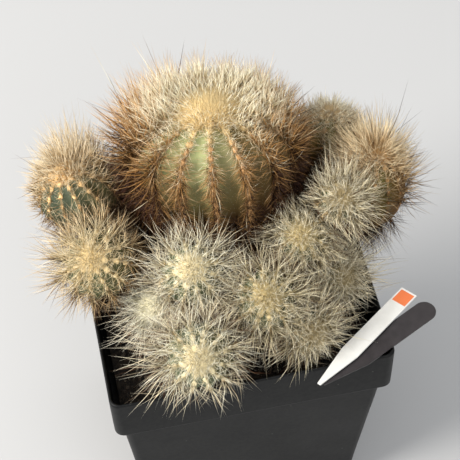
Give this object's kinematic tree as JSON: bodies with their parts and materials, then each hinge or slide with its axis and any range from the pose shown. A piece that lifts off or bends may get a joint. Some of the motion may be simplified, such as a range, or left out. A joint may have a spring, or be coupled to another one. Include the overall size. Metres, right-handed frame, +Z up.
{
  "type": "potted cactus",
  "caption": "Clump of ribbed globe cactus heads with dense pale and brown spines, standing in soil in a square black nursery pot, with plant labels laid on the rim.",
  "frame": {"origin": "middle of the pot's flat base, on the surface that it stands on", "axes": "+Z up, +X to the right along the pot's front side, +Y away from the viewer towards the back of the pot"},
  "size_m": [0.2319, 0.197, 0.2576],
  "materials": {
    "pot_plastic": "matte black moulded",
    "soil": "dark gritty potting mix",
    "old_head": "pale green ribbed skin with golden to dark brown spines",
    "young_heads": "grey green skin under cream and white spines",
    "white_label": "smooth white plastic, bare",
    "smoke_label": "smoke grey clear plastic, bare"
  },
  "bodies": {
    "root": {"pot": "pot_plastic", "soil": "soil", "head_main": "old_head", "head_left_back": "young_heads", "head_left_front": "young_heads", "head_front_upper": "young_heads", "head_front_small": "young_heads", "head_front_low": "young_heads", "head_front_right": "young_heads", "head_right_small": "young_heads", "head_right_middle": "young_heads", "head_right_back": "young_heads", "head_right_low": "young_heads", "head_corner": "young_heads", "head_right_far": "young_heads", "head_back_left": "young_heads", "head_back_right": "young_heads", "label_smoke": "smoke_label", "label_white": "white_label"}
  },
  "joints": []
}
